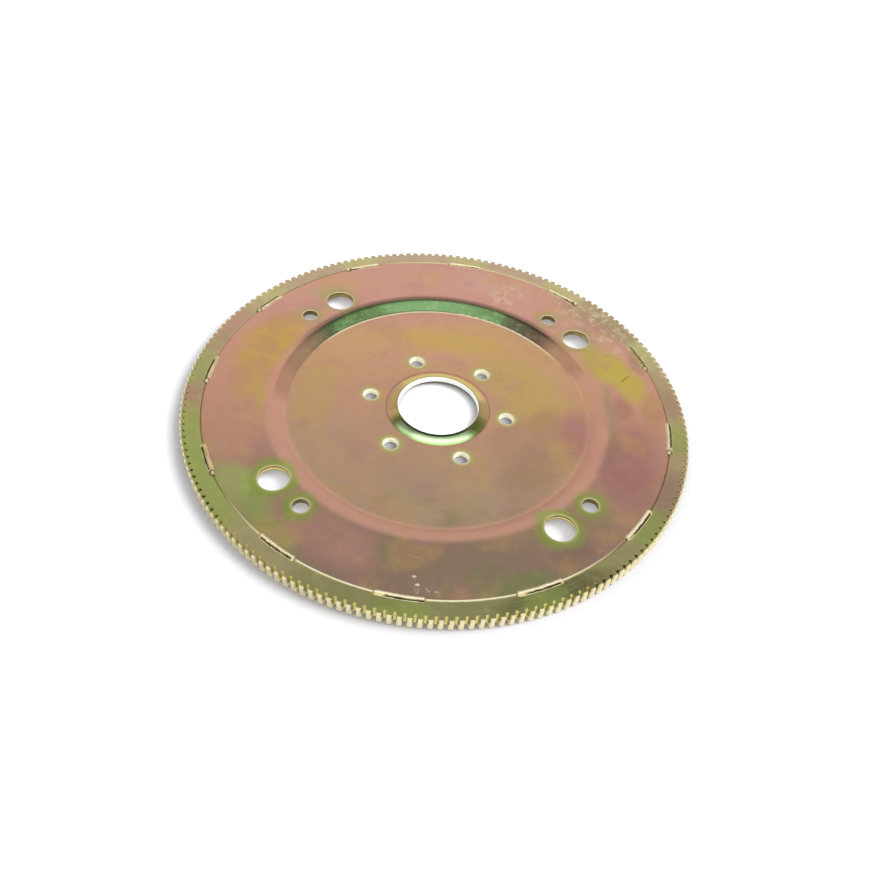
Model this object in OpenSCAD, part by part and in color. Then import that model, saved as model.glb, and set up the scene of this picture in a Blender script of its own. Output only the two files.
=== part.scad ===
// Flexplate: a pressed steel disc with a toothed starter ring stitch welded round its rim.
// The part lies flat with the pressed centre down. The origin is on the turning axis, on the
// underside of the centre. Angles run anticlockwise seen from above, and +X points at the
// crank bolt hole that is set off from the even spacing.

/* [Disc] */
// Thickness of the pressed sheet
sheet_t = 4.5; // [3:0.1:6]
// Bevel on the upper edge of every hole
hole_bevel = 0.3; // [0.2:0.1:0.8]

/* [Pressed step] */
// Depth of the pressed centre below the outer flat
step_depth = 6; // [4:0.5:9]
// Diameter of the flat floor of the pressed centre
floor_d = 236; // [180:1:240]
// Slope of the step wall, in degrees
step_slope = 36; // [25:1:50]
// Radius of the soft bend at the top of the step
top_bend_r = 12; // [8:0.5:14]
// Radius of the tight bend at the foot of the step
foot_bend_r = 3; // [1.5:0.5:5]

/* [Hub hole] */
// Diameter of the hub hole
hub_d = 63; // [50:0.5:70]
// Width of the raised lip round the hub hole
lip_w = 9.5; // [6:0.5:14]
// Height of the raised lip
lip_rise = 2.9; // [1.5:0.1:4]

/* [Crank bolt holes] */
// Diameter of the crank bolt circle
crank_pcd = 109; // [100:0.5:130]
// Diameter of each crank bolt hole
crank_hole_d = 11.2; // [8:0.1:14]
// Number of crank bolt holes
crank_holes = 6; // [4:1:8]
// Turn that sets one crank bolt hole off its even place, in degrees
crank_offset = 2.5; // [0:0.1:5]

/* [Converter holes] */
// Diameter of the converter bolt circle
converter_pcd = 290.5; // [288:0.5:320]
// Diameter of each converter stud hole
stud_hole_d = 12.2; // [8:0.1:14]
// Diameter of each large access hole
access_hole_d = 22.6; // [16:0.1:24]
// Number of converter stud holes, with one access hole beside each
converter_holes = 4; // [3:1:6]
// Turn from +X to the first stud hole, in degrees
stud_turn = 60; // [0:1:90]
// Turn from each stud hole back to its access hole, in degrees
access_turn = 12.7; // [8:0.1:20]

/* [Starter ring] */
// Number of teeth
teeth = 184; // [168:1:200]
// Module of the teeth, the pitch diameter over the tooth count
tooth_module = 2.117; // [2:0.001:2.3]
// Share of the pitch that a tooth fills at the pitch circle
tooth_share = 0.55; // [0.45:0.01:0.6]
// Slope of the tooth flanks at the pitch circle, in degrees
flank_angle = 13; // [11:0.5:20]
// Tooth height above the pitch circle
addendum = 1.6; // [1.2:0.1:1.8]
// Tooth depth below the pitch circle
dedendum = 2.4; // [1.5:0.1:2.8]
// Turn from +X to the middle of the first tooth, in degrees
tooth_turn = 0.1; // [0:0.1:1.9]
// Height of the ring
ring_h = 10.5; // [8:0.1:10.5]
// Solid rim between the ring's bore and the tooth roots
ring_rim = 11.2; // [9:0.1:16]
// Bevel on both tip corners of the teeth
tip_bevel = 1; // [0.3:0.1:1.2]
// Bevel on the lower edge of the ring's bore
bore_bevel = 0.6; // [0.3:0.1:1]

/* [Seam and welds] */
// Radial gap between the disc and the ring
seam_gap = 0.1; // [0.02:0.01:0.2]
// Bevel on both upper edges of the seam
seam_bevel = 0.7; // [0.3:0.1:1]
// Number of weld beads round the seam
weld_count = 12; // [6:1:18]
// Length of each weld bead
weld_len = 34; // [20:1:45]
// Width of each weld bead
weld_w = 4.8; // [3:0.1:6]
// Height of each weld bead
weld_h = 1.2; // [0.6:0.1:2]
// Turn from +X to the middle of the first weld bead, in degrees
weld_turn = 3.7; // [0:0.1:29]

/* [Hidden] */
$fn = 96;
// Margin by which a cutting shape runs past what it cuts
past = 1;

// Heights of the outer flat and of the ring's foot
rim_top = step_depth + sheet_t;
ring_foot = rim_top - ring_h;

// Radii of the ring's teeth, its bore and the disc
pitch_r = teeth * tooth_module / 2;
tip_r = pitch_r + addendum;
root_r = pitch_r - dedendum;
bore_r = root_r - ring_rim;
disc_r = bore_r - seam_gap;

// Degrees by which a tooth flank's slope grows for each millimetre outward
flank_bow = 2.5;
// Corner that rounds each tooth root
root_round = 0.8;
// Share of the tooth pitch that a tooth's foot takes at most, on each side of its middle
foot_share = 0.47;

// The step's section runs from the foot of its wall out to the start of its top bend
bend_run = (top_bend_r + foot_bend_r) * sin(step_slope);
bend_drop = (top_bend_r + foot_bend_r) * (1 - cos(step_slope));
wall_run = (step_depth - bend_drop) / tan(step_slope);
floor_r = floor_d / 2;
step_r = floor_r + bend_run + wall_run;

// The lip's upper face is an arc that is level at the hub hole
hub_r = hub_d / 2;
lip_arc_r = (lip_w * lip_w + lip_rise * lip_rise) / (2 * lip_rise);
lip_top = sheet_t + lip_rise;
lip_centre = [hub_r, lip_top - lip_arc_r];

// Weld beads lie along the middle of the seam
seam_r = (disc_r + bore_r) / 2;
// Steps round a weld bead's section, and along its straight stretch
bead_sides = 6;
bead_steps = 8;

function bead_name(i) = str("weld_bead_", i < 9 ? "0" : "", i + 1);

// One bend of the sheet: a band of a ring about the bend's centre, between two directions
module bend_band(centre, outer_r, from, to) {
    reach = 2 * outer_r;
    middle = (from + to) / 2;
    translate(centre)
        intersection() {
            difference() {
                circle(outer_r);
                circle(outer_r - sheet_t);
            }
            polygon([
                [0, 0],
                reach * [cos(from), sin(from)],
                reach * [cos(middle), sin(middle)],
                reach * [cos(to), sin(to)]
            ]);
        }
}

// Section of the outer flat, the sloping wall and its two bends
module step_section() {
    foot_centre = [floor_r, sheet_t + foot_bend_r];
    top_centre = [step_r, rim_top - top_bend_r];
    down = 270 + step_slope;
    up = 90 + step_slope;
    wall_foot = foot_centre + foot_bend_r * [cos(down), sin(down)];
    wall_head = top_centre + top_bend_r * [cos(up), sin(up)];
    under = sheet_t * [cos(down), sin(down)];

    bend_band(foot_centre, foot_bend_r + sheet_t, 270, down);
    polygon([wall_foot, wall_head, wall_head + under, wall_foot + under]);
    bend_band(top_centre, top_bend_r, 90, up);
    polygon([
        [step_r, step_depth],
        [disc_r, step_depth],
        [disc_r, rim_top - seam_bevel],
        [disc_r - seam_bevel, rim_top],
        [step_r, rim_top]
    ]);
}

// Section of the flat floor with the raised lip at the hub hole
module floor_section() {
    difference() {
        union() {
            translate([hub_r, 0])
                square([floor_r - hub_r, sheet_t]);
            intersection() {
                translate(lip_centre)
                    circle(lip_arc_r);
                translate([hub_r, 0])
                    square([lip_w, lip_top]);
            }
        }
        translate(lip_centre)
            circle(lip_arc_r - sheet_t);
        polygon([
            [hub_r, lip_top - hole_bevel],
            [hub_r + hole_bevel, lip_top],
            [hub_r + hole_bevel, lip_top + past],
            [hub_r - past, lip_top + past],
            [hub_r - past, lip_top - hole_bevel]
        ]);
    }
}

// A drilled hole through a flat of the sheet, bevelled at its upper edge
module hole(radius, turn, d, top) {
    rotate(turn)
        translate([radius, 0, top]) {
            translate([0, 0, -sheet_t - past])
                cylinder(h = sheet_t + 2 * past, d = d);
            translate([0, 0, -hole_bevel])
                cylinder(h = hole_bevel + past, d1 = d, d2 = d + 2 * (hole_bevel + past));
        }
}

module flexplate_disc() {
    color("darkkhaki")
        difference() {
            union() {
                rotate_extrude()
                    floor_section();
                rotate_extrude()
                    step_section();
            }
            for (i = [0 : crank_holes - 1])
                let (set_off = i == 0 ? crank_offset : 0)
                hole(crank_pcd / 2, i * 360 / crank_holes + set_off, crank_hole_d, sheet_t);
            for (i = [0 : converter_holes - 1]) {
                turn = stud_turn + i * 360 / converter_holes;
                hole(converter_pcd / 2, turn, stud_hole_d, rim_top);
                hole(converter_pcd / 2, turn - access_turn, access_hole_d, rim_top);
            }
        }
}

// Half the angle that a tooth takes up at a radius, with flanks bowed as on a generated tooth
function tooth_half_angle(r) =
    180 * tooth_share / teeth - (r - pitch_r) * tan(flank_angle + (r - pitch_r) * flank_bow) / r * 180 / PI;

function polar(r, a) = [r * cos(a), r * sin(a)];

// Outline of one tooth with half a root on each side, anticlockwise
function tooth_outline(turn) =
    let (
        pitch_angle = 360 / teeth,
        flank_foot = root_r + root_round,
        radii = [flank_foot, pitch_r, tip_r],
        foot_half = tooth_half_angle(flank_foot),
        root_half = min(foot_half + root_round / root_r * 180 / PI, foot_share * pitch_angle),
        corner_half = foot_half + (root_half - foot_half) * (1 - cos(45)),
        corner_r = root_r + root_round * (1 - cos(45))
    )
    concat(
        [polar(root_r, turn - root_half), polar(corner_r, turn - corner_half)],
        [for (r = radii) polar(r, turn - tooth_half_angle(r))],
        [for (i = [2 : -1 : 0]) polar(radii[i], turn + tooth_half_angle(radii[i]))],
        [polar(corner_r, turn + corner_half), polar(root_r, turn + root_half)]
    );

// Section of the turned blank that the teeth are cut in
module blank_section() {
    polygon([
        [bore_r, ring_foot + bore_bevel],
        [bore_r + bore_bevel, ring_foot],
        [tip_r - tip_bevel, ring_foot],
        [tip_r, ring_foot + tip_bevel],
        [tip_r, rim_top - tip_bevel],
        [tip_r - tip_bevel, rim_top],
        [bore_r + seam_bevel, rim_top],
        [bore_r, rim_top - seam_bevel]
    ]);
}

module ring_gear() {
    color("tan")
        intersection() {
            rotate_extrude()
                blank_section();
            translate([0, 0, ring_foot - past])
                linear_extrude(ring_h + 2 * past)
                    polygon([
                        for (i = [0 : teeth - 1])
                            each tooth_outline(tooth_turn + i * 360 / teeth)
                    ]);
        }
}

// Section of a weld bead about the seam: half an oval over a root that fills the seam's groove
bead_section = concat(
    [for (i = [0 : bead_sides]) [
        -weld_w / 2 * cos(i * 180 / bead_sides),
        weld_h * sin(i * 180 / bead_sides)
    ]],
    [[seam_bevel, 0], [0, -seam_bevel], [-seam_bevel, 0]]
);

// Rings along a weld bead, each with its way along the bead from its middle and its share of the
// full section: the ends are round in plan, and the rest has the full section
bead_end_rings = [for (i = [1 : bead_sides]) [
    weld_len / 2 - weld_w / 2 * (1 - cos(i * 90 / bead_sides)),
    sin(i * 90 / bead_sides)
]];
bead_rings = concat(
    [for (ring = bead_end_rings) [-ring[0], ring[1]]],
    [for (i = [1 : bead_steps - 1]) [(weld_len - weld_w) * (i / bead_steps - 0.5), 1]],
    [for (i = [bead_sides - 1 : -1 : 0]) bead_end_rings[i]]
);

// One weld bead, swept along the seam from ring to ring
module weld_bead(i) {
    middle = weld_turn + i * 360 / weld_count;
    size = len(bead_section);
    last = (len(bead_rings) - 1) * size;
    points = [
        for (ring = bead_rings)
            for (p = ring[1] * bead_section)
                let (turn = middle + ring[0] / seam_r * 180 / PI)
                [(seam_r + p[0]) * cos(turn), (seam_r + p[0]) * sin(turn), rim_top + p[1]]
    ];
    sides = [
        for (r = [0 : size : last - size])
            for (k = [0 : size - 1])
                let (next = (k + 1) % size)
                each [[r + k, r + size + next, r + next], [r + k, r + size + k, r + size + next]]
    ];
    first_cap = [for (k = [0 : size - 1]) k];
    last_cap = [for (k = [size - 1 : -1 : 0]) last + k];
    color("khaki")
        polyhedron(points, concat(sides, [first_cap, last_cap]));
}

flexplate_disc();
ring_gear();
for (i = [0 : weld_count - 1])
    weld_bead(i);
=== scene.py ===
"""Looks of the flexplate: chromate plating on the pressed disc, the toothed ring and the welds."""

import math
import random

import bmesh
import bpy
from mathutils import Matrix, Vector, noise


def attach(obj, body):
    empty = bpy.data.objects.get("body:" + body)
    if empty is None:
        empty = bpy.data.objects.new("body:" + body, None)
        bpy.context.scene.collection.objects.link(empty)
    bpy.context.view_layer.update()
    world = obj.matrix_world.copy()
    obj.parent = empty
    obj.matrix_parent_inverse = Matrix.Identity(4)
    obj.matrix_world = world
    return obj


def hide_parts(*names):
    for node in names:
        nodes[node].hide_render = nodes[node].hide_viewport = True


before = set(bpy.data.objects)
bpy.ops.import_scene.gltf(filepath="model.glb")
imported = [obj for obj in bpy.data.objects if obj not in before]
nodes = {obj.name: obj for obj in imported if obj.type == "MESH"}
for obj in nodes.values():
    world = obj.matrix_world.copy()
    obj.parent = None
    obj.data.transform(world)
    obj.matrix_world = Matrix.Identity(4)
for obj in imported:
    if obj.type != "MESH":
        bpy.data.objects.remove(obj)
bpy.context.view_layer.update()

MM = 0.001

# Sizes of the CAD model that the looks follow, in millimetres and degrees
RIM_TOP = 10.5
HUB_R = 31.5
LIP_R = 41
FLOOR_R = 118
STEP_R = 131
SEAM_R = 181.11
SEAM_BEVEL = 0.7
ROOT_R = 192.36
TIP_R = 196.36
CRANK_R = 54.5
CRANK_HOLE_R = 5.6
CRANK_TURNS = (2.5, 60, 120, 180, 240, 300)
CONVERTER_R = 145.25
STUD_HOLE_R = 6.1
STUD_TURNS = (60, 150, 240, 330)
ACCESS_HOLE_R = 11.3
ACCESS_TURNS = (47.3, 137.3, 227.3, 317.3)
WELD_COUNT = 12
WELD_TURN = 3.7
WELD_W = 4.8
WELD_H = 1.2

# The side of the part that lies away from the camera, as a turn
FAR_TURN = 97

# Distances from a hole's edge where the tone of its wall starts and is full, in millimetres
HOLE_WALL = (0.12, 0.04)

# How metallic the plating is, and how much less so the pale walls of the hub bore and crank holes are,
# which are painted light
METALLIC = 0.88
WELD_METALLIC = 0.85
PAINTED_LIGHT_WALL_LOSS = 0.8

# Plating tones that several places share, as screen colours from 0 to 255
ROSE = (217, 161, 144)
GOLD = (208, 174, 108)
YELLOW = (206, 184, 86)
UMBER = (142, 116, 102)
LIME = (190, 188, 104)
CREAM = (240, 230, 196)
STRAW = (222, 206, 146)
# The darkest shared tone, used as painted shade in tooth spaces and weld undercuts
DEEP_SHADE = (44, 38, 20)

# Tones of the disc's floor, outer flat and clouds; the near, mid and far tones paint shade on the near
# side and reflection on the far side
FLOOR_NEAR = (192, 160, 132)
FLOOR_MID = (206, 160, 130)
FLOOR_FAR = (216, 170, 124)
RIM_NEAR = (158, 132, 112)
RIM_MID = (212, 156, 132)
MAUVE = (176, 126, 116)
CLOUD_GOLD = (210, 170, 104)
CLOUD_MAUVE = (190, 134, 136)
CLOUD_GREEN = (128, 140, 84)

# Tones of the step, painted light and shade: a blush highlight, a green reflection with dark shade,
# highlights and streaks, shade above the wall and a highlight line at its foot
BLUSH = (206, 156, 136)
WALL_DARK = (54, 56, 38)
WALL_GREEN = (84, 112, 70)
WALL_LIGHT = (104, 142, 92)
FERN = (104, 138, 90)
FOREST = (44, 54, 30)
ABOVE_WALL_SHADE = (120, 90, 74)
FOOT_HIGHLIGHT = (252, 234, 198)

# Tones of the lip at the hub hole: painted reflections and shade, with painted shade in the crease and
# painted light on the bore wall
LIP_TAN = (208, 156, 126)
LIP_STRAW = (212, 194, 116)
LIP_LINE = (166, 148, 84)
LIP_DARK = (46, 64, 22)
MINT = (208, 238, 186)
LIP_GREEN = (150, 194, 118)
LIP_OLIVE = (112, 118, 60)
CREASE = (128, 88, 66)
HUB_WALL = (250, 250, 246)

# Tones round and inside the holes; the bright rims are painted highlights and the wall tones painted
# light and shade
GRASS = (146, 168, 74)
CRANK_RIM = (228, 220, 160)
CRANK_WALL = (255, 250, 226)
STUD_WALL = (92, 78, 36)
ACCESS_WALL = (214, 194, 120)
ACCESS_FAR = (112, 98, 48)
ACCESS_UPPER = (104, 90, 34)
ACCESS_LOWER = (120, 100, 48)

# Tones of painted shade and highlight at the seam, then of wear
SEAM_DARK = (134, 108, 62)
DISC_SEAM = (250, 246, 216)
RING_SEAM = (190, 178, 128)
DISC_SCUFF = (226, 212, 180)
RING_SCUFF = (228, 214, 178)
SCRATCH = (226, 206, 170)
NICK = (112, 98, 52)

# Tones of the ring and its teeth; the near, mid and far tones paint shade on the near side and
# reflection on the far side, and the flank, foot and tip tones are painted light and shade
RING_NEAR = (156, 152, 102)
RING_MID = (184, 160, 122)
RING_FAR = (200, 174, 144)
LEAF = (152, 166, 88)
LEAF_FAR = (204, 196, 132)
RING_GREEN = (166, 178, 96)
RING_BROWN = (178, 162, 124)
FLANK = (244, 236, 160)
FLANK_FOOT = (92, 78, 30)
TIP = (255, 244, 206)
TIP_FAR = (150, 140, 96)

# Tones of the welds; the crest tone is a painted highlight
WELD_DULL = (176, 156, 104)
WELD_PALE = (206, 188, 136)
WELD_PITS = (128, 104, 64)
WELD_CREST = (252, 246, 218)

# The floor: linear colours of its paper, the shaded one painted shade under the part, strengths of its
# glow, half its width in metres, and how far it lies below the part in millimetres
PAPER = (0.5, 0.5, 0.52, 1)
SHADED_PAPER = (0.24, 0.24, 0.26, 1)
WHITE = (1, 1, 1, 1)
CLEAR_GLOW = 0.32
UNDER_GLOW = 0.62
FLOOR_HALF = 6.0
FLOOR_DROP = 0.2

# The light: levels of the studio, and the key's strength, spread in degrees and way
AMBIENT = 0.2
STUDIO_WALLS = 1.13
FRONT_LIGHT = 1.6
KEY_STRENGTH = 4.4
KEY_SPREAD = 36
KEY_WAY = (-0.95, -0.3, -1.0)

# The camera: sensor and lens in millimetres, place in metres, turn in degrees
SENSOR = 36
LENS = 36.198
CAMERA_PLACE = (0.05772, -0.48895, 0.4976)
CAMERA_TURN = (42.678, -4.662, 11.238)


def linear(tone):
    """A screen colour as a linear RGBA colour."""
    def channel(c):
        c /= 255
        return c / 12.92 if c <= 0.04045 else ((c + 0.055) / 1.055) ** 2.4
    return (channel(tone[0]), channel(tone[1]), channel(tone[2]), 1.0)


def polar(radius, turn):
    """A place in the plan, in metres, from a radius in millimetres and a turn in degrees."""
    angle = math.radians(turn)
    return (radius * MM * math.cos(angle), radius * MM * math.sin(angle), 0)


def add(name, data):
    """A new object with this data, in the scene."""
    item = bpy.data.objects.new(name, data)
    bpy.context.scene.collection.objects.link(item)
    return item


class Graph:
    """A node tree, with short calls for the sums and mixes that the plating needs."""

    def __init__(self, tree):
        self.tree = tree
        self.tree.nodes.clear()

    def node(self, kind):
        return self.tree.nodes.new(kind)

    def put(self, socket, value):
        if isinstance(value, bpy.types.NodeSocket):
            self.tree.links.new(value, socket)
        else:
            socket.default_value = value

    def operate(self, kind, operation, values):
        """A node of a kind, set to an operation, with its inputs filled in order."""
        node = self.node(kind)
        node.operation = operation
        for socket, value in zip(node.inputs, values):
            self.put(socket, value)
        return node

    def math(self, operation, *values):
        return self.operate("ShaderNodeMath", operation, values).outputs[0]

    def vector(self, operation, *values):
        node = self.operate("ShaderNodeVectorMath", operation, values)
        single = operation in ("LENGTH", "DISTANCE", "DOT_PRODUCT")
        return node.outputs["Value" if single else "Vector"]

    def fade(self, value, none, full):
        """0 where value is none, 1 where it is full, and smooth between."""
        node = self.node("ShaderNodeMapRange")
        node.interpolation_type = "SMOOTHSTEP"
        self.put(node.inputs["Value"], value)
        rising = none < full
        node.inputs["From Min"].default_value = none if rising else full
        node.inputs["From Max"].default_value = full if rising else none
        node.inputs["To Min"].default_value = 0.0 if rising else 1.0
        node.inputs["To Max"].default_value = 1.0 if rising else 0.0
        return node.outputs["Result"]

    def span(self, value, none, full):
        """As fade, for a value in metres with its ends in millimetres."""
        return self.fade(value, none * MM, full * MM)

    def times(self, *values):
        total = values[0]
        for value in values[1:]:
            total = self.math("MULTIPLY", total, value)
        return total

    def plus(self, *values):
        total = values[0]
        for value in values[1:]:
            total = self.math("ADD", total, value)
        return total

    def less(self, first, second):
        return self.math("SUBTRACT", first, second)

    def most(self, first, second):
        return self.math("MAXIMUM", first, second)

    def least(self, first, second):
        return self.math("MINIMUM", first, second)

    def mix(self, share, first, second):
        node = self.node("ShaderNodeMix")
        node.data_type = "RGBA"
        self.put(node.inputs[0], share)
        self.put(node.inputs[6], first)
        self.put(node.inputs[7], second)
        return node.outputs[2]

    def noise(self, where, scale, detail=3.0, rough=0.5, lean=0.0):
        node = self.node("ShaderNodeTexNoise")
        self.put(node.inputs["Vector"], where)
        node.inputs["Scale"].default_value = scale
        node.inputs["Detail"].default_value = detail
        node.inputs["Roughness"].default_value = rough
        node.inputs["Distortion"].default_value = lean
        return node


class Plating(Graph):
    """A plated metal's material, with places and masks in the part's own frame."""

    def __init__(self, name):
        self.material = bpy.data.materials.new(name)
        self.material.use_nodes = True
        super().__init__(self.material.node_tree)
        self.output = self.node("ShaderNodeOutputMaterial")
        self.place = self.node("ShaderNodeTexCoord").outputs["Object"]
        apart = self.node("ShaderNodeSeparateXYZ")
        self.put(apart.inputs[0], self.place)
        self.x, self.y, self.z = apart.outputs
        flat = self.node("ShaderNodeCombineXYZ")
        self.put(flat.inputs[0], self.x)
        self.put(flat.inputs[1], self.y)
        self.plan = flat.outputs[0]
        self.radius = self.vector("LENGTH", self.plan)
        self.turn = self.math("ARCTAN2", self.y, self.x)
        self.far = self.toward(FAR_TURN)

    def toward(self, turn):
        """How far a place lies toward a turn, in metres from the axis."""
        angle = math.radians(turn)
        return self.vector("DOT_PRODUCT", self.plan, (math.cos(angle), math.sin(angle), 0))

    def side(self, turn, half, soft):
        """1 within half degrees of a turn, falling to 0 over soft degrees more."""
        share = self.math("DIVIDE", self.toward(turn), self.radius)
        return self.fade(share, math.cos(math.radians(half + soft)), math.cos(math.radians(half)))

    def ring(self, start, end, soft):
        """1 between two radii in millimetres, falling to 0 over soft on each side."""
        inner = self.span(self.radius, start - soft, start)
        return self.times(inner, self.span(self.radius, end + soft, end))

    def grain(self, scale, detail=3.0, rough=0.5, lean=0.0):
        return self.noise(self.place, scale, detail, rough, lean).outputs[0]

    def wander(self, scale, reach):
        """The plan place moved about by noise, up to about reach each way."""
        drift = self.noise(self.plan, scale, 4.0, 0.6).outputs["Color"]
        centred = self.vector("SUBTRACT", drift, (0.5, 0.5, 0.5))
        spread = self.vector("MULTIPLY", centred, (2 * reach, 2 * reach, 0.0))
        return self.vector("ADD", self.plan, spread)

    def patch(self, where, turn, radius, across, along, inner=0.3, lean=0.0):
        """1 in the middle of an oval at a turn and radius, falling to 0 at its edge."""
        node = self.node("ShaderNodeMapping")
        node.vector_type = "TEXTURE"
        self.put(node.inputs["Vector"], where)
        node.inputs["Location"].default_value = polar(radius, turn)
        node.inputs["Rotation"].default_value = (0, 0, math.radians(turn + lean))
        node.inputs["Scale"].default_value = (across * MM, along * MM, 1)
        return self.fade(self.vector("LENGTH", node.outputs[0]), 1.0, inner)

    def clouds(self, scale, shift):
        """Soft clouds over the plan, from noise that starts at a shift."""
        start = self.vector("ADD", self.plan, (shift, 2 * shift, 0.0))
        return self.fade(self.noise(start, scale, 3.0, 0.55).outputs[0], 0.5, 0.66)

    def lay(self, colour, mask, tone, strength=1.0):
        """A tone laid over a colour where the mask is 1."""
        if strength != 1.0:
            mask = self.times(mask, strength)
        return self.mix(mask, colour, linear(tone))

    def paint(self, colour, where, patches):
        """Lays soft patches of plating tone over a colour."""
        for turn, radius, across, along, tone, strength in patches:
            colour = self.lay(colour, self.patch(where, turn, radius, across, along), tone, strength)
        return colour

    def along_turn(self, along, across):
        """Places on strips that follow the turn, along being their reach round the part and
        across their cycles per metre."""
        node = self.node("ShaderNodeCombineXYZ")
        self.put(node.inputs[0], self.times(self.math("COSINE", self.turn), along))
        self.put(node.inputs[1], self.times(self.math("SINE", self.turn), along))
        self.put(node.inputs[2], self.times(self.radius, across))
        return node.outputs[0]

    def scratches(self, lean, share):
        """Fine straight scratches that lean by an angle."""
        node = self.node("ShaderNodeMapping")
        self.put(node.inputs["Vector"], self.plan)
        node.inputs["Rotation"].default_value = (0, 0, math.radians(lean))
        node.inputs["Scale"].default_value = (28, 1500, 1)
        lines = self.noise(node.outputs[0], 1.0, 1.0, 0.4).outputs[0]
        gaps = self.noise(self.plan, 26.0, 2.0).outputs[0]
        return self.times(self.fade(lines, 0.70, 0.76), self.fade(gaps, 1 - share - 0.1, 1 - share))

    def grit(self, colour, scale, dark, light, strength):
        """Fine mottling toward a darker and a lighter tone."""
        mottle = self.grain(scale, 5.0, 0.65)
        colour = self.lay(colour, self.fade(mottle, 0.5, 0.8), dark, strength)
        return self.lay(colour, self.fade(mottle, 0.5, 0.2), light, strength), mottle

    def bump(self, height, strength, distance):
        node = self.node("ShaderNodeBump")
        node.inputs["Strength"].default_value = strength
        node.inputs["Distance"].default_value = distance
        self.put(node.inputs["Height"], height)
        return node.outputs[0]

    def metal(self, colour, metallic, rough, bump):
        shader = self.node("ShaderNodeBsdfPrincipled")
        self.put(shader.inputs["Base Color"], colour)
        self.put(shader.inputs["Metallic"], metallic)
        self.put(shader.inputs["Roughness"], rough)
        self.put(shader.inputs["Normal"], bump)
        self.put(self.output.inputs["Surface"], shader.outputs[0])
        return self.material


def hole_distance(g, circle_r, hole_r, turns):
    """Distance from the edge of the nearest hole of a circle, in metres."""
    nearest = None
    for turn in turns:
        gap = g.less(g.vector("DISTANCE", g.plan, polar(circle_r, turn)), hole_r * MM)
        nearest = gap if nearest is None else g.least(nearest, gap)
    return nearest


def seam_shade_and_highlight(g, colour, seam, highlight_tone):
    """Paints shade on the bevel at the seam, less so to the right and left, and paints a highlight on
    it near and far.
    """
    quiet = g.most(g.side(16, 48, 20), g.side(200, 42, 14))
    dark = g.times(seam, g.less(1.0, g.times(quiet, 0.85)))
    colour = g.lay(colour, dark, SEAM_DARK, 0.7)
    seam_highlight = g.most(g.side(276, 30, 26), g.side(86, 20, 16))
    return g.lay(colour, g.times(seam, seam_highlight), highlight_tone)


# Where the disc's plating drifts in tone: turn, radius, half width, half length, tone, strength
FLOOR_PATCHES = (
    (20, 78, 36, 50, GOLD, 0.9),
    (45, 72, 30, 46, GOLD, 0.8),
    (98, 80, 18, 74, (214, 178, 104), 0.85),
    (110, 56, 9, 46, (218, 164, 138), 0.7),
    (108, 110, 16, 84, ROSE, 0.85),
    (0, 110, 20, 40, (188, 134, 122), 0.85),
    (165, 58, 22, 60, (212, 160, 134), 0.7),
    (188, 98, 22, 62, (206, 168, 112), 0.7),
    (345, 62, 20, 40, (190, 148, 122), 0.6),
    (285, 92, 40, 74, (188, 162, 132), 0.6),
    (232, 92, 24, 50, (200, 162, 130), 0.6),
    (332, 94, 28, 48, (168, 138, 108), 0.55),
    (2, 86, 18, 26, (182, 136, 110), 0.5),
)
# The same for the outer flat; the last two are bright specks
RIM_PATCHES = (
    (169, 150, 30, 58, (210, 168, 92), 1.0),
    (187, 148, 22, 36, (208, 166, 96), 0.75),
    (350, 154, 34, 64, MAUVE, 0.95),
    (33, 147, 24, 36, YELLOW, 1.0),
    (22, 161, 18, 30, (206, 182, 90), 0.95),
    (27, 155, 13, 34, YELLOW, 0.9),
    (12, 172, 12, 26, (190, 146, 108), 0.7),
    (50, 174, 15, 56, (186, 152, 120), 0.85),
    (88, 160, 20, 30, (214, 172, 152), 0.6),
    (205, 158, 26, 50, (204, 154, 128), 0.8),
    (226, 168, 20, 38, (172, 184, 106), 1.0),
    (238, 172, 14, 46, (156, 164, 100), 0.95),
    (256, 153, 28, 46, (190, 144, 128), 0.9),
    # The next three, on the near side, are painted shade
    (290, 160, 26, 56, (154, 134, 110), 0.7),
    (300, 175, 10, 46, (138, 142, 96), 0.9),
    (316, 170, 13, 26, (152, 122, 108), 0.9),
    (332, 150, 20, 20, (166, 150, 112), 0.6),
    (10, 135, 9, 44, (174, 150, 116), 0.75),
    (352, 138, 9, 34, (168, 126, 112), 0.6),
    (278, 139, 8, 50, (166, 134, 112), 0.45),
    (13, 147, 12, 18, (180, 132, 112), 0.7),
    (31, 175, 8, 18, (176, 142, 104), 0.7),
    (138, 163, 14, 22, (190, 170, 134), 0.7),
    (192, 137, 8, 20, (206, 172, 104), 0.7),
    (275, 164.7, 1.4, 1.4, (250, 236, 214), 1.0),
    (276.3, 171.2, 1.4, 1.6, (252, 240, 220), 1.0),
)
# Where painted shade and reflection change the lip's tone at its sides: turn, half angle, tone,
# strength
LIP_SIDES = (
    (4, 10, (150, 124, 86), 0.7),
    (180, 16, (172, 140, 100), 0.7),
    (238, 4, (70, 80, 32), 0.5),
    (336, 8, (92, 104, 46), 0.6),
)
LIP_SOFT = 16
# Where the step wall's tone turns darker toward its ends, as painted shade: turn, half angle, soft
# angle, tone, strength
WALL_SIDES = (
    (132, 3, 8, (66, 88, 48), 0.6),
    (165, 4, 12, (132, 116, 88), 0.7),
    (180, 4, 12, (160, 122, 100), 0.6),
    (61, 6, 9, (74, 62, 48), 0.7),
    (42, 4, 10, (160, 120, 96), 0.6),
)


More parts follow.
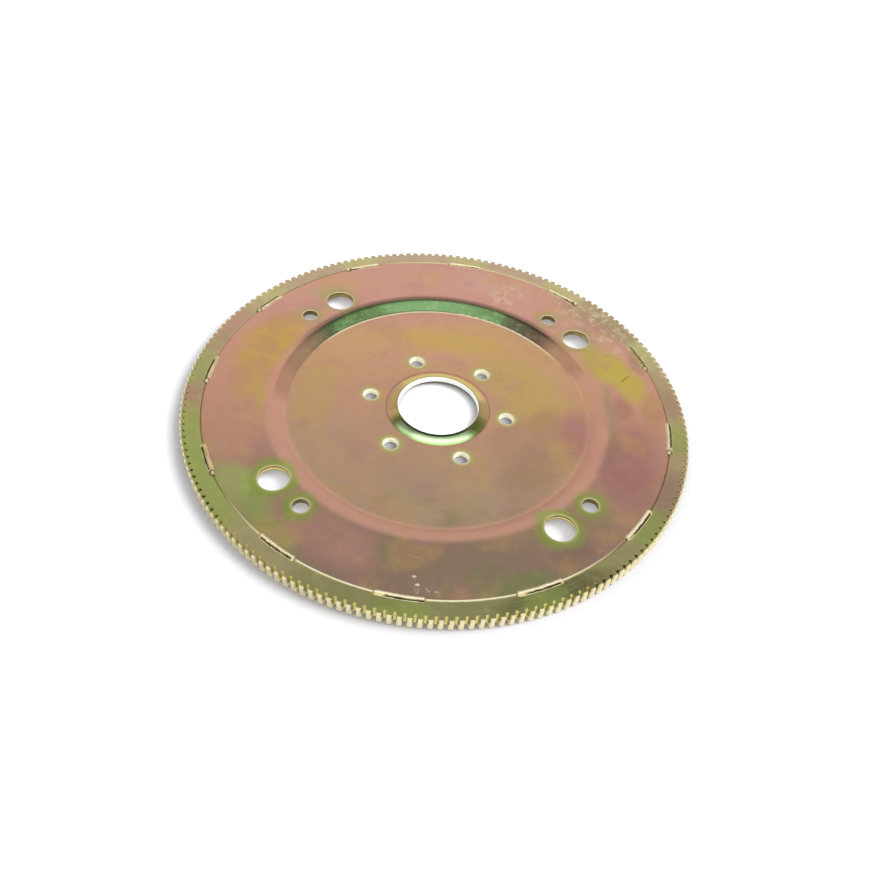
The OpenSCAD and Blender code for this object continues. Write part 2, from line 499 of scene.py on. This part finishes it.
def disc_base(g, where):
    """The flat floor and the outer flat, darker on the near side as painted shade and lighter on the
    far side as painted reflection, with drifts of tone.
    """
    # Painted shade toward the near side and painted reflection toward the far side, with noise in
    # where it turns
    depth = g.plus(g.far, g.times(g.less(g.grain(12.0, 3.0), 0.5), 60 * MM))
    floor = g.mix(g.span(depth, -100, 10), linear(FLOOR_NEAR), linear(FLOOR_MID))
    floor = g.lay(floor, g.span(depth, -10, 90), FLOOR_FAR)
    floor = g.paint(floor, where, FLOOR_PATCHES)
    rim = g.mix(g.span(depth, -165, 20), linear(RIM_NEAR), linear(RIM_MID))
    rim = g.lay(rim, g.span(depth, 10, 120), ROSE)
    rim = g.paint(rim, where, RIM_PATCHES)
    colour = g.mix(g.span(g.radius, FLOOR_R - 1, STEP_R - 3), floor, rim)

    # Clouds of gold and mauve, and of green on the near side
    colour = g.lay(colour, g.clouds(26.0, 3.1), CLOUD_GOLD, 0.38)
    colour = g.lay(colour, g.clouds(30.0, 7.3), CLOUD_MAUVE, 0.28)
    near_clouds = g.times(g.clouds(24.0, 5.7), g.span(g.far, -70, -130))
    return g.lay(colour, near_clouds, CLOUD_GREEN, 0.5)


def step_wall(g, colour):
    """Lays the step's painted light and shade: a green reflection round the far half, darker at its
    ends and top bend, a blush round the rest that grows toward the near side as painted highlight, and
    a bright painted highlight line at its foot. Also gives the masks of the green wall and of the
    blush."""
    # A pink blush on the shoulder, growing toward the near side as painted highlight
    shoulder = g.ring(FLOOR_R + 3, STEP_R, 6)
    near_more = g.plus(0.4, g.times(g.span(g.far, 30, -90), 0.4))
    colour = g.lay(colour, g.times(shoulder, near_more), BLUSH)

    # Round the far half the wall gets a painted green reflection, dark at its ends as painted shade,
    # with a painted highlight, lighter streaks and painted shade at the top bend
    wide_far = g.side(FAR_TURN + 9, 40, 26)
    mid_far = g.side(FAR_TURN + 13, 28, 24)
    streaks = g.noise(g.along_turn(9.0, 160.0), 1.0, 4.0, 0.65).outputs[0]
    green = g.mix(mid_far, linear(WALL_DARK), linear(WALL_GREEN))
    green = g.lay(green, g.side(FAR_TURN + 6, 6, 16), WALL_LIGHT, 0.6)
    green = g.lay(green, g.times(g.fade(streaks, 0.45, 0.68), mid_far), FERN)
    green = g.lay(green, g.span(g.radius, FLOOR_R + 7, FLOOR_R + 11), FOREST, 0.65)

    # Painted shade above the wall, on the top bend
    above = g.times(g.ring(FLOOR_R + 8, STEP_R - 1, 4), wide_far)
    colour = g.lay(colour, above, ABOVE_WALL_SHADE, 0.6)
    wall = g.ring(FLOOR_R + 1.2, STEP_R - 4, 2.4)
    green_wall = g.times(wall, wide_far)
    colour = g.mix(green_wall, colour, green)
    # Painted shade toward the wall's ends
    for turn, half, soft, tone, strength in WALL_SIDES:
        colour = g.lay(colour, g.times(wall, g.side(turn, half, soft)), tone, strength)
    specks = g.times(g.fade(g.grain(640.0, 2.0), 0.68, 0.76), green_wall)
    colour = g.lay(colour, specks, CREAM, 0.35)
    # A bright painted highlight line along the foot crease, round the far half
    foot = g.times(g.ring(FLOOR_R - 1.2, FLOOR_R + 0.3, 0.4), g.side(FAR_TURN + 3, 42, 22))
    colour = g.lay(colour, foot, FOOT_HIGHLIGHT, 0.9)
    return colour, green_wall, g.times(shoulder, g.less(1.0, wide_far))


def hub_lip(g, colour):
    """Lays the lip's painted reflections and shade: tan to straw on the far half, green and mint on
    the near half, olive and darker at its sides, with painted shade in its crease and painted light on
    the bore wall. Also gives the lip's mask."""
    lip = g.ring(HUB_R - 2, LIP_R - 0.6, 0.5)
    # Painted reflections: tan to straw on the far half, dark to mint and green on the near half
    far = g.mix(g.span(g.radius, HUB_R + 8.5, HUB_R + 2.5), linear(LIP_TAN), linear(LIP_STRAW))
    far = g.lay(far, g.ring(HUB_R + 0.8, HUB_R + 1.5, 0.6), LIP_LINE, 0.5)
    near = g.mix(g.span(g.radius, HUB_R + 1.7, HUB_R + 3.5), linear(LIP_DARK), linear(MINT))
    near = g.lay(near, g.span(g.radius, HUB_R + 6.7, HUB_R + 8.5), LIP_GREEN)
    near = g.mix(g.side(276, 42, 14), linear(LIP_OLIVE), near)
    colour = g.mix(lip, colour, g.mix(g.side(282, 60, 16), far, near))
    for turn, half, tone, strength in LIP_SIDES:
        colour = g.lay(colour, g.times(lip, g.side(turn, half, LIP_SOFT)), tone, strength)
    # Painted shade in the crease at the lip's edge
    colour = g.lay(colour, g.ring(LIP_R - 0.4, LIP_R + 0.1, 0.5), CREASE, 0.55)
    # Painted light: the bore wall is laid pale
    return g.lay(colour, g.span(g.radius, HUB_R + 0.6, HUB_R + 0.2), HUB_WALL), lip


def hole_looks(g, colour):
    """Lays halos round the holes, strongest on the near side, a bright rim at each edge as painted
    highlight, and the painted light and shade of the holes' walls. Also gives the mask of the crank
    holes' walls."""
    crank = hole_distance(g, CRANK_R, CRANK_HOLE_R, CRANK_TURNS)
    stud = hole_distance(g, CONVERTER_R, STUD_HOLE_R, STUD_TURNS)
    access = hole_distance(g, CONVERTER_R, ACCESS_HOLE_R, ACCESS_TURNS)
    uneven = g.times(g.less(g.grain(48.0, 3.0), 0.5), 15 * MM)
    crank_halo = g.span(g.plus(crank, g.times(uneven, 0.6)), 6.5, 0.5)
    colour = g.lay(colour, crank_halo, LIME, 0.75)
    # A bright rim round the crank holes, as painted highlight
    colour = g.lay(colour, g.span(crank, 2.4, 0.9), CRANK_RIM, 0.75)
    outer = g.least(stud, access)
    near_more = g.plus(0.36, g.times(g.span(g.far, 40, -40), 0.64))
    halo = g.times(g.span(g.plus(outer, uneven), 11, 1.5), near_more)
    colour = g.lay(colour, halo, GRASS, 0.8)
    colour = g.lay(colour, g.times(g.span(outer, 3.2, 0.6), near_more), LIME, 0.7)
    # A bright rim at the edge of every hole, as painted highlight
    colour = g.lay(colour, g.span(g.least(outer, crank), 0.9, 0.3), CREAM, 0.75)

    # Walls: painted light in the crank holes, painted shade in the stud holes, and in the access holes
    # pale with painted shade in the far holes and in bands
    crank_wall = g.span(crank, *HOLE_WALL)
    colour = g.lay(colour, crank_wall, CRANK_WALL)
    colour = g.lay(colour, g.span(stud, *HOLE_WALL), STUD_WALL, 0.95)
    access_wall = g.span(access, *HOLE_WALL)
    colour = g.lay(colour, access_wall, ACCESS_WALL, 0.9)
    far_wall = g.times(access_wall, g.span(g.far, 30, 70))
    colour = g.lay(colour, far_wall, ACCESS_FAR, 0.85)
    upper_band = g.times(access_wall, g.span(g.z, RIM_TOP - 2.3, RIM_TOP - 1.6))
    colour = g.lay(colour, upper_band, ACCESS_UPPER, 0.9)
    lower_band = g.times(access_wall, g.span(g.z, RIM_TOP - 3.2, RIM_TOP - 3.9))
    return g.lay(colour, lower_band, ACCESS_LOWER, 0.8), crank_wall


def disc_material():
    g = Plating("plated_disc_chromate")
    where = g.wander(20.0, 12 * MM)
    colour = disc_base(g, where)
    colour, green_wall, blush_wall = step_wall(g, colour)
    colour, lip = hub_lip(g, colour)
    colour, crank_wall = hole_looks(g, colour)
    seam_edge = SEAM_R - SEAM_BEVEL
    seam = g.span(g.radius, seam_edge - 0.3, seam_edge + 0.05)
    colour = seam_shade_and_highlight(g, colour, seam, DISC_SEAM)

    # Fine mottling, specks, scuffs, scratches and one nick
    colour, mottle = g.grit(colour, 130.0, UMBER, STRAW, 0.12)
    colour = g.lay(colour, g.fade(g.grain(900.0, 2.0), 0.70, 0.78), CREAM, 0.4)
    zone = g.most(g.patch(where, 48, 172, 26, 74, 0.3), g.patch(where, 76, 152, 26, 26, 0.2))
    zone = g.most(zone, g.patch(where, 279, 176, 6, 10, 0.3))
    scuffs = g.times(g.fade(g.grain(120.0, 7.0, 0.85, 0.3), 0.51, 0.6), zone)
    colour = g.lay(colour, scuffs, DISC_SCUFF, 0.75)
    scratches = g.plus(g.scratches(24, 0.36), g.scratches(-52, 0.34))
    colour = g.lay(colour, scratches, SCRATCH, 0.4)
    nick = g.patch(g.plan, 25.6, 158.5, 8.5, 0.8, 0.4, 30)
    colour = g.lay(colour, nick, NICK, 0.8)

    # The lip and the green wall are smoother, the scuffs and the blush of the step rougher
    formed = g.most(lip, green_wall)
    rough = g.plus(0.26, g.times(g.grain(34.0, 5.0, 0.6), 0.18))
    rough = g.plus(rough, g.times(scuffs, 0.15), g.times(formed, -0.12), g.times(blush_wall, 0.2))
    relief = g.plus(g.times(mottle, 0.5), g.times(g.grain(420.0, 3.0), 0.5))
    relief = g.plus(relief, g.times(scratches, -0.4))
    # The walls painted light are also made hardly metallic
    painted_light_walls = g.most(crank_wall, g.span(g.radius, HUB_R + 0.3, HUB_R + 0.1))
    metallic = g.less(METALLIC, g.times(painted_light_walls, PAINTED_LIGHT_WALL_LOSS))
    return g.metal(colour, metallic, rough, g.bump(relief, 0.1, 0.25 * MM))


# Where the ring's plating drifts in tone: turn, radius, half width, half length, tone, strength
RING_PATCHES = (
    (48, 188, 14, 74, (178, 154, 118), 0.9),
    (345, 188, 14, 36, (160, 130, 112), 0.8),
    (15, 188, 12, 24, (178, 146, 118), 0.8),
    (196, 188, 12, 26, (186, 144, 124), 0.85),
    (166, 188, 12, 26, (198, 156, 134), 0.85),
    (240, 188, 12, 24, (176, 160, 122), 0.8),
    # The next one, on the near side, is painted shade
    (306, 188, 14, 62, (108, 106, 68), 0.85),
)


def ring_material():
    g = Plating("plated_ring_chromate")
    where = g.wander(24.0, 8 * MM)
    # Painted shade toward the near side and painted reflection toward the far side
    colour = g.mix(g.span(g.far, -190, 0), linear(RING_NEAR), linear(RING_MID))
    colour = g.lay(colour, g.span(g.far, 20, 170), RING_FAR)
    colour = g.paint(colour, where, RING_PATCHES)

    # Green where the welds heated the ring, lighter toward the far side as painted reflection, greener
    # at the left, and brown beside one weld
    from_weld = g.less(g.turn, math.radians(WELD_TURN))
    waves = g.math("COSINE", g.times(from_weld, float(WELD_COUNT)))
    uneven = g.plus(waves, g.times(g.less(g.grain(30.0, 4.0, 0.6), 0.5), 2.4))
    leaf = g.mix(g.span(g.far, -60, 130), linear(LEAF), linear(LEAF_FAR))
    colour = g.mix(g.times(g.fade(uneven, 0.0, 0.9), 0.75), colour, leaf)
    colour = g.lay(colour, g.side(219, 17, 10), RING_GREEN, 0.8)
    colour = g.lay(colour, g.side(242, 5, 7), RING_BROWN, 0.75)

    # Tooth spaces are pale yellow as painted light, darker at the foot and dark at the left and right
    # as painted shade; tips are cream as a painted highlight, and darker to the right and far as
    # painted shade
    inside = g.ring(ROOT_R - 0.8, ROOT_R + 1.2, 0.8)
    flank = g.times(inside, g.span(g.z, RIM_TOP - 0.05, RIM_TOP - 0.4))
    colour = g.lay(colour, flank, FLANK, 0.9)
    colour = g.lay(colour, g.times(flank, g.span(g.z, 2, 0.5)), FLANK_FOOT, 0.6)
    beside = g.most(g.side(194, 30, 12), g.side(348, 30, 8))
    colour = g.lay(colour, g.times(flank, beside, g.span(g.z, 10, 9)), DEEP_SHADE, 0.95)
    tips = g.span(g.radius, ROOT_R + 1.6, TIP_R - 0.6)
    below_top = g.span(g.z, RIM_TOP - 0.02, RIM_TOP - 0.2)
    colour = g.lay(colour, g.times(tips, below_top), TIP, 0.95)
    colour = g.lay(colour, g.times(tips, g.side(42, 40, 24)), TIP_FAR, 0.6)
    colour = g.lay(colour, g.span(g.radius, TIP_R - 1.6, TIP_R - 0.9), STRAW, 0.3)
    seam_edge = SEAM_R + SEAM_BEVEL
    seam = g.span(g.radius, seam_edge + 0.3, seam_edge - 0.05)
    colour = seam_shade_and_highlight(g, colour, seam, RING_SEAM)

    # Fine mottling, scuffs and the lines of turning
    colour, mottle = g.grit(colour, 140.0, UMBER, STRAW, 0.26)
    zone = g.patch(where, 44, 186, 24, 90, 0.4)
    scuffs = g.times(g.fade(g.grain(130.0, 7.0, 0.85, 0.3), 0.49, 0.6), zone)
    colour = g.lay(colour, scuffs, RING_SCUFF, 0.7)
    turned = g.noise(g.along_turn(3.0, 1800.0), 1.0, 2.0).outputs[0]
    colour = g.lay(colour, g.fade(turned, 0.58, 0.75), STRAW, 0.22)
    rough = g.plus(0.28, g.times(g.grain(40.0, 4.0), 0.16), g.times(scuffs, 0.12))
    relief = g.plus(g.times(mottle, 0.5), g.times(turned, 0.4))
    return g.metal(colour, METALLIC, rough, g.bump(relief, 0.1, 0.2 * MM))


def weld_material():
    g = Plating("weld_metal_chromate")
    weld_shade = g.node("ShaderNodeAttribute")
    weld_shade.attribute_name = "weld_shade"
    crest = g.node("ShaderNodeAttribute")
    crest.attribute_name = "crest"
    colour = g.mix(g.fade(g.grain(90.0, 3.0), 0.3, 0.7), linear(WELD_DULL), linear(WELD_PALE))
    colour = g.lay(colour, g.fade(g.grain(240.0, 4.0, 0.7), 0.56, 0.74), WELD_PITS, 0.7)
    # Painted highlight on the crest and painted shade in the undercut, hollows, ends and edges
    colour = g.lay(colour, g.fade(crest.outputs["Fac"], 0.45, 0.85), WELD_CREST, 0.95)
    colour = g.lay(colour, g.fade(weld_shade.outputs["Fac"], 0.2, 0.7), DEEP_SHADE, 0.97)
    rough = g.plus(0.18, g.times(g.grain(200.0, 3.0), 0.2), g.times(weld_shade.outputs["Fac"], 0.4))
    return g.metal(colour, WELD_METALLIC, rough, g.bump(g.grain(700.0, 3.0), 0.15, 0.2 * MM))


# Each weld bead: shift round the seam and length in degrees, end where the arc stopped (0 for none
# that shows), how far along the bead its undercut and the painted shade in it start and end, and how
# bright the painted highlight on its crest is
WELDS = (
    (-0.7, 11.0, -1, 0.25, 0.95, 0.8),
    (-0.9, 10.2, -1, 0.10, 0.95, 0.35),
    (-0.5, 10.2, -1, 0.12, 0.40, 1.0),
    (-0.2, 9.8, 0, 0.10, 0.30, 1.0),
    (0.0, 10.2, 1, 0.60, 0.85, 1.0),
    (0.9, 9.6, 1, 0.10, 0.80, 0.7),
    (0.5, 10.2, 1, 0.15, 0.85, 0.7),
    (0.9, 10.2, 1, 0.10, 0.82, 0.5),
    (0.9, 10.2, 0, 0.08, 0.92, 0.9),
    (-0.5, 11.0, 0, 0.24, 0.97, 1.0),
    (-0.5, 11.0, 0, 0.20, 0.92, 1.0),
    (-0.5, 11.0, 0, 0.22, 0.90, 1.0),
)
# Welds on the far side, which have their undercut, and the painted shade in it, on the inner side
FAR_WELDS = (2, 3, 4)
# Length of a mesh step along a bead, points across it, how deep its foot sinks and how long its round
# ends are; lengths in millimetres
WELD_STEP = 0.3
WELD_POINTS = 25
WELD_SINK = 0.06
WELD_END = WELD_W * 0.45
WELD_SEED = 40


def hump(value, middle, width):
    return math.exp(-((value - middle) / width) ** 2)


def smooth(value, low, high):
    t = min(max((value - low) / (high - low), 0.0), 1.0)
    return t * t * (3 - 2 * t)


def weld_point(phase, pitch, length, s, v, half, stop_s, cut, shine):
    """Height, painted shade and painted crest highlight of a weld bead at a way along it and a share
    across it.
    """
    lift = noise.noise(Vector((s * 0.25, phase, 1.7)))
    wave = (s + 1.2 * v * v) / pitch + phase
    saw = wave - math.floor(wave)
    ripple = saw * saw * (1.0 if saw < 0.85 else (1 - saw) / 0.15)
    wobble = 0.12 * noise.noise(Vector((s * 0.5, phase, 6.3)))

    # A main ridge, an undercut outside it and a thin ridge at the outer toe
    along = s / length
    start, end = cut
    in_cut = smooth(along, start - 0.05, start + 0.04) * (1 - smooth(along, end - 0.04, end + 0.05))
    toe = math.sqrt(max(0.0, 1 - v * v))
    ridge = hump(v, -0.2 + wobble, 0.5) * (0.8 + 0.14 * lift + 0.2 * ripple)
    trench = in_cut * hump(v, 0.5 + wobble, 0.3) * (0.95 + 0.5 * lift)
    outer_ridge = 0.4 * hump(v, 0.92, 0.12)
    height = toe * max(0.22, 0.25 + 0.72 * ridge + outer_ridge * in_cut - 0.75 * trench)

    # Painted shade fills the undercut; painted highlight lies on the main ridge, the outer ridge and
    # the toes
    weld_shade = min(trench, 1.0)
    crest = max(hump(v, -0.3 + wobble, 0.62) * (0.8 + 0.4 * ripple), in_cut * hump(v, 0.92, 0.14))
    crest = max(crest * shine, 0.8 * hump(abs(v), 0.94, 0.16)) * (1 - weld_shade)
    if stop_s is not None:
        # The blob where the arc stopped: a bright dome as painted highlight, with dark hollows beside
        # it as painted shade
        d = math.hypot(0.8 * (s - stop_s), half * (v + 0.1)) / (WELD_W / 2)
        dome = hump(d, 0.0, 0.5)
        hollow = hump(d, 0.85, 0.24) * (0.7 + 0.3 * smooth(v + lift, -0.5, 0.4))
        height = height * (1 - 0.6 * hollow) + 0.7 * dome * toe
        weld_shade = max(weld_shade * (1 - dome), 0.85 * hollow)
        crest = max(crest * (1 - hollow), dome)
    return min(height, 1.0), weld_shade, crest


def weld_mesh(index):
    """One weld bead with ripples, wandering edges, an undercut and the blob where the arc stopped, and
    with painted shade and painted highlight in its points.
    """
    shift, degrees, stop, cut_start, cut_end, shine = WELDS[index]
    cut = (cut_start, cut_end)
    cut_side = -1 if index in FAR_WELDS else 1
    draw = random.Random(WELD_SEED + index)
    pitch = draw.uniform(1.5, 1.9)
    phase = draw.uniform(0, 10)
    middle = math.radians(WELD_TURN + index * 360 / WELD_COUNT + shift)
    length = math.radians(degrees) * SEAM_R
    stop_s = None
    if stop:
        stop_s = WELD_END if stop < 0 else length - WELD_END
    rows = int(length / WELD_STEP) + 1
    mesh = bmesh.new()
    weld_shades = []
    crests = []
    grid = []
    for row in range(rows):
        s = row / (rows - 1) * length
        from_end = min(s, length - s)
        swell = math.sqrt(max(0.0, 1 - max(0.0, 1 - from_end / WELD_END) ** 2))
        swell = max(swell, 0.05)
        half = WELD_W / 2 * swell * (0.93 + 0.1 * noise.noise(Vector((s * 0.45, phase, 4.2))))
        side = 0.25 * noise.noise(Vector((s * 0.3, phase, 8.1)))
        turn = middle + (s - length / 2) / SEAM_R
        end_shade = hump(from_end, 0.0, 0.9)
        line = []
        for point in range(WELD_POINTS):
            v = -1 + 2 * point / (WELD_POINTS - 1)
            height, weld_shade, crest = weld_point(
                phase, pitch, length, s, cut_side * v, half, stop_s, cut, shine)
            r = (SEAM_R + side + half * v) * MM
            z = (RIM_TOP - WELD_SINK + WELD_H * swell ** 0.5 * height) * MM
            line.append(mesh.verts.new((r * math.cos(turn), r * math.sin(turn), z)))
            # Painted shade also darkens the bead's ends and the crease along its edges
            weld_shades.append(max(weld_shade, 0.5 * end_shade, 0.6 * hump(abs(v), 1.0, 0.05)))
            crests.append(crest * (1 - end_shade))
        grid.append(line)
    for near, far in zip(grid, grid[1:]):
        for k in range(WELD_POINTS - 1):
            mesh.faces.new((near[k], near[k + 1], far[k + 1], far[k]))
        mesh.faces.new((near[-1], near[0], far[0], far[-1]))
    mesh.faces.new(list(reversed(grid[0])))
    mesh.faces.new(grid[-1])
    bmesh.ops.recalc_face_normals(mesh, faces=mesh.faces[:])
    data = bpy.data.meshes.new("weld_bead_look_%02d" % (index + 1))
    mesh.to_mesh(data)
    mesh.free()
    for name, values in (("weld_shade", weld_shades), ("crest", crests)):
        data.attributes.new(name, "FLOAT", "POINT").data.foreach_set("value", values)
    data.polygons.foreach_set("use_smooth", [True] * len(data.polygons))
    return data


# CAD nodes keep their shape and take the plating
for name, material in (("flexplate_disc", disc_material()), ("ring_gear", ring_material())):
    for slot in nodes[name].material_slots:
        slot.material = material

weld_look = weld_material()
for index in range(WELD_COUNT):
    bead = add("weld_bead_look_%02d" % (index + 1), weld_mesh(index))
    bead.data.materials.append(weld_look)
    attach(bead, "root")
    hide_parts("weld_bead_%02d" % (index + 1))


def floor_material():
    """Pale paper that keeps the part's shadow, and shows the underside to a camera below."""
    g = Plating("floor_paper")
    paper = g.node("ShaderNodeBsdfDiffuse")
    # Painted shade: the paper under the part, round the crank holes, is darker
    under_crank = g.ring(40, 90, 6)
    g.put(paper.inputs["Color"], g.mix(under_crank, PAPER, SHADED_PAPER))

    # It glows where it is clear of the part: outside the teeth, in the hub hole and by the outer
    # holes. Its glow fades out toward the teeth, which leaves a soft painted shadow round the part
    path = g.node("ShaderNodeLightPath")
    glossy = path.outputs["Is Glossy Ray"]
    seen = g.most(path.outputs["Is Camera Ray"], glossy)
    seen = g.most(seen, path.outputs["Is Transmission Ray"])
    clear = g.plus(g.span(g.radius, 198, 222), g.span(g.radius, 32, 24), g.ring(130, 160, 6))

    # It also lights the underside, for reflections that the camera sees there directly
    first = g.math("LESS_THAN", path.outputs["Ray Depth"], 1.5)
    under = g.times(glossy, first, g.span(g.radius, 199, 193))
    glow = g.node("ShaderNodeEmission")
    glow.inputs["Color"].default_value = WHITE
    strength = g.most(g.times(seen, clear, CLEAR_GLOW), g.times(under, UNDER_GLOW))
    g.put(glow.inputs["Strength"], strength)

    both = g.node("ShaderNodeAddShader")
    g.put(both.inputs[0], paper.outputs[0])
    g.put(both.inputs[1], glow.outputs[0])
    below = g.node("ShaderNodeMixShader")
    g.put(below.inputs[0], g.node("ShaderNodeNewGeometry").outputs["Backfacing"])
    g.put(below.inputs[1], both.outputs[0])
    g.put(below.inputs[2], g.node("ShaderNodeBsdfTransparent").outputs[0])
    g.put(g.output.inputs["Surface"], below.outputs[0])
    return g.material


def make_floor():
    half = FLOOR_HALF
    z = -FLOOR_DROP * MM
    data = bpy.data.meshes.new("floor")
    corners = [(-half, -half, z), (half, -half, z), (half, half, z), (-half, half, z)]
    data.from_pydata(corners, [], [(0, 1, 2, 3)])
    data.materials.append(floor_material())
    floor = add("floor", data)


def make_world():
    """A studio: pale walls all round, and a broad soft light overhead and in front."""
    world = bpy.data.worlds.new("studio")
    bpy.context.scene.world = world
    world.use_nodes = True
    g = Graph(world.node_tree)
    apart = g.node("ShaderNodeSeparateXYZ")
    g.put(apart.inputs[0], g.node("ShaderNodeTexCoord").outputs["Generated"])
    x, y, z = apart.outputs
    angle = math.radians(FAR_TURN)
    behind = g.plus(g.times(x, math.cos(angle)), g.times(y, math.sin(angle)))
    walls = g.least(g.fade(z, 0.97, 0.3), 0.56)
    front = g.times(g.fade(behind, 0.3, 0.12), g.fade(z, 0.72, 0.8))
    level = g.plus(AMBIENT, g.times(walls, STUDIO_WALLS), g.times(front, FRONT_LIGHT))
    level = g.most(level, g.node("ShaderNodeLightPath").outputs["Is Camera Ray"])
    sky = g.node("ShaderNodeBackground")
    sky.inputs["Color"].default_value = WHITE
    g.put(sky.inputs["Strength"], level)
    g.put(g.node("ShaderNodeOutputWorld").inputs["Surface"], sky.outputs[0])


def make_key():
    """A soft key from the right, which throws the shadow to the left."""
    data = bpy.data.lights.new("key", "SUN")
    data.energy = KEY_STRENGTH
    data.angle = math.radians(KEY_SPREAD)
    key = add("key", data)
    key.rotation_euler = Vector(KEY_WAY).to_track_quat("-Z", "Y").to_euler()
    key.visible_glossy = False


def make_camera():
    data = bpy.data.cameras.new("camera")
    data.sensor_width = SENSOR
    data.lens = LENS
    camera = add("camera", data)
    camera.location = CAMERA_PLACE
    camera.rotation_euler = [math.radians(angle) for angle in CAMERA_TURN]
    bpy.context.scene.camera = camera


make_floor()
make_world()
make_key()
make_camera()
bpy.context.scene.view_settings.view_transform = "Standard"
